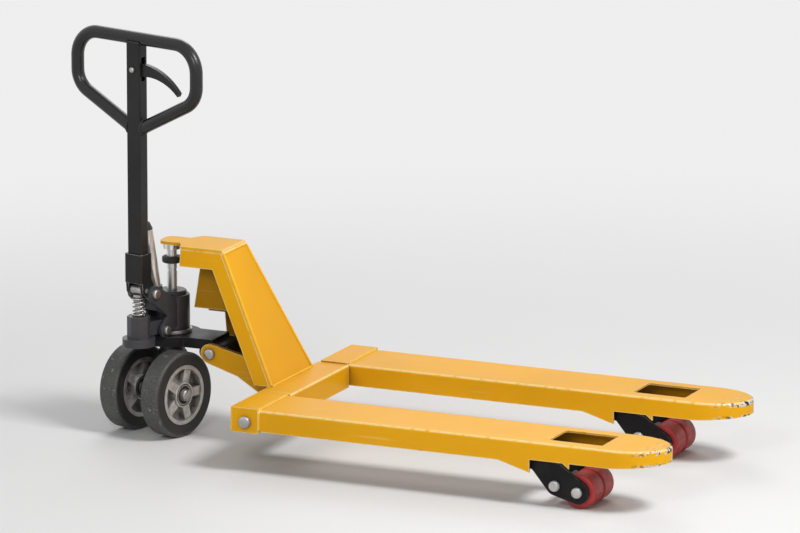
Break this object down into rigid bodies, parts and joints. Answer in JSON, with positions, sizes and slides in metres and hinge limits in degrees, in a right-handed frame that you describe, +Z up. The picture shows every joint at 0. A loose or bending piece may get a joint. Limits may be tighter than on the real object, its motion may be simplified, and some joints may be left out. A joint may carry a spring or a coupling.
{
  "type": "manual pallet jack",
  "caption": "Hand pallet jack with flat channel forks, a hooded lift head, a steered pump unit on wheels, paired load rollers and an upright loop handle with a squeeze lever.",
  "frame": {"origin": "middle of the object's box on the floor plane", "axes": "+X along the forks towards their tips, +Y to the left of that way, +Z up"},
  "size_m": [1.5668, 0.66, 0.953],
  "materials": {
    "yellow_paint": "glossy enamel, chipped at the noses and edges",
    "frame_paint": "satin paint, dirty",
    "black_paint": "satin powder coat",
    "black_casting": "satin paint on a rough casting",
    "steel": "turned and zinc plated",
    "chrome": "ground and hard chromed",
    "tyre": "solid rubber, dusty",
    "hub_aluminium": "as cast, dulled",
    "rubber": "moulded",
    "red_polyurethane": "cast tread, scuffed"
  },
  "bodies": {
    "chassis": {"right_fork": "yellow_paint", "left_fork": "yellow_paint", "fork_brackets": "yellow_paint", "cross_beam": "yellow_paint", "head_top_plate": "yellow_paint", "head_front_plate": "yellow_paint", "head_side_plates": "yellow_paint", "head_web": "yellow_paint", "ram": "chrome", "ram_ring": "rubber", "rocker_shaft": "steel", "frame_pivots": "steel"},
    "thrust": {"thrust_plate": "black_paint", "thrust_ring": "steel"},
    "pump": {"pump_body": "black_casting", "pump_collar": "black_casting", "pivot_pins": "steel", "strut_cup": "black_casting", "buffer_strut": "chrome", "strut_cap": "rubber", "wheel_axle": "steel", "plunger_spring": "steel"},
    "plunger": {"plunger": "steel"},
    "handle": {"handle_socket": "black_paint", "handle_shaft": "black_paint", "handle_loop": "black_paint", "handle_pins": "steel", "buffer_pad": "rubber"},
    "press_roller": {"press_roller": "steel"},
    "release_lever": {"release_lever": "black_paint"},
    "release_rod": {"release_rod": "steel"},
    "rocker": {"rocker_tube": "black_paint", "link_arms": "yellow_paint", "link_pin": "steel", "lever_pins": "steel"},
    "left_wheel": {"left_tyre": "tyre", "left_wheel_hub": "hub_aluminium", "left_wheel_bearings": "steel"},
    "right_wheel": {"right_tyre": "tyre", "right_wheel_hub": "hub_aluminium", "right_wheel_bearings": "steel"},
    "right_push_rod": {"right_push_rod": "steel"},
    "right_roller_frame": {"right_roller_frame": "frame_paint", "right_frame_pins": "steel", "right_roller_axle": "steel"},
    "right_roller_a": {"right_roller_a": "red_polyurethane"},
    "right_roller_b": {"right_roller_b": "red_polyurethane"},
    "left_push_rod": {"left_push_rod": "steel"},
    "left_roller_frame": {"left_roller_frame": "frame_paint", "left_frame_pins": "steel", "left_roller_axle": "steel"},
    "left_roller_a": {"left_roller_a": "red_polyurethane"},
    "left_roller_b": {"left_roller_b": "red_polyurethane"}
  },
  "joints": [
    {"name": "lift", "type": "slide", "parent": "chassis", "child": "thrust", "axis": [0, 0, -1], "range_m": [-0.057, 0.05]},
    {"name": "steer", "type": "hinge", "parent": "thrust", "child": "pump", "pos_m": [-0.56663, 0, 0.204], "axis": [0, 0, 1], "range_deg": [-166, 14]},
    {"name": "handle_tilt", "type": "hinge", "parent": "pump", "child": "handle", "pos_m": [-0.59082, -0.09703, 0.338], "axis": [0.9703, -0.2419, 0], "range_deg": [0, 75], "stiffness_Nm_per_rad": 18, "springref_deg": -14.32},
    {"name": "plunger_slide", "type": "slide", "parent": "pump", "child": "plunger", "axis": [0, 0, -1], "range_m": [0, 0.02889], "deforming": ["plunger_spring"]},
    {"name": "press_roller_spin", "type": "hinge", "parent": "handle", "child": "press_roller", "pos_m": [-0.59566, -0.11643, 0.348], "axis": [-0.9703, 0.2419, 0], "continuous": true},
    {"name": "lever_squeeze", "type": "hinge", "parent": "handle", "child": "release_lever", "pos_m": [-0.59566, -0.11643, 0.866], "axis": [-0.2419, -0.9703, 0], "range_deg": [0, 14], "stiffness_Nm_per_rad": 1.2, "springref_deg": -11.46},
    {"name": "release_rod_slide", "type": "slide", "parent": "handle", "child": "release_rod", "axis": [0, 0, -1], "range_m": [0, 0.00331]},
    {"name": "left_wheel_spin", "type": "hinge", "parent": "pump", "child": "left_wheel", "pos_m": [-0.58163, -0.06016, 0.1], "axis": [-0.9703, 0.2419, 0], "continuous": true},
    {"name": "right_wheel_spin", "type": "hinge", "parent": "pump", "child": "right_wheel", "pos_m": [-0.58163, -0.06016, 0.1], "axis": [-0.9703, 0.2419, 0], "continuous": true},
    {"name": "rocker_swing", "type": "hinge", "parent": "chassis", "child": "rocker", "pos_m": [-0.22463, 0, 0.121], "axis": [0, -1, 0], "range_deg": [-15.31, 13.43]},
    {"name": "right_rod_slide", "type": "slide", "parent": "chassis", "child": "right_push_rod", "axis": [1, 0, 0], "range_m": [-0.00722, 0.00633]},
    {"name": "right_frame_swing", "type": "hinge", "parent": "chassis", "child": "right_roller_frame", "pos_m": [0.41837, -0.24, 0.112], "axis": [0, 1, 0], "range_deg": [-19.93, 17.49]},
    {"name": "right_roller_a_spin", "type": "hinge", "parent": "right_roller_frame", "child": "right_roller_a", "pos_m": [0.58537, -0.24, 0.04], "axis": [0, 1, 0], "continuous": true},
    {"name": "right_roller_b_spin", "type": "hinge", "parent": "right_roller_frame", "child": "right_roller_b", "pos_m": [0.58537, -0.24, 0.04], "axis": [0, 1, 0], "continuous": true},
    {"name": "left_rod_slide", "type": "slide", "parent": "chassis", "child": "left_push_rod", "axis": [1, 0, 0], "range_m": [-0.00722, 0.00633]},
    {"name": "left_frame_swing", "type": "hinge", "parent": "chassis", "child": "left_roller_frame", "pos_m": [0.41837, 0.24, 0.112], "axis": [0, 1, 0], "range_deg": [-19.93, 17.49]},
    {"name": "left_roller_a_spin", "type": "hinge", "parent": "left_roller_frame", "child": "left_roller_a", "pos_m": [0.58537, 0.24, 0.04], "axis": [0, 1, 0], "continuous": true},
    {"name": "left_roller_b_spin", "type": "hinge", "parent": "left_roller_frame", "child": "left_roller_b", "pos_m": [0.58537, 0.24, 0.04], "axis": [0, 1, 0], "continuous": true}
  ],
  "couplings": [
    {"joint": "plunger_slide", "follows": "handle_tilt", "m_per_rad": 0.022066},
    {"joint": "release_rod_slide", "follows": "lever_squeeze", "m_per_rad": 0.0135},
    {"joint": "rocker_swing", "follows": "lift", "rad_per_m": 4.6839},
    {"joint": "right_rod_slide", "follows": "lift", "ratio": 0.12646},
    {"joint": "right_frame_swing", "follows": "lift", "rad_per_m": 6.1007},
    {"joint": "left_rod_slide", "follows": "lift", "ratio": 0.12646},
    {"joint": "left_frame_swing", "follows": "lift", "rad_per_m": 6.1007}
  ]
}
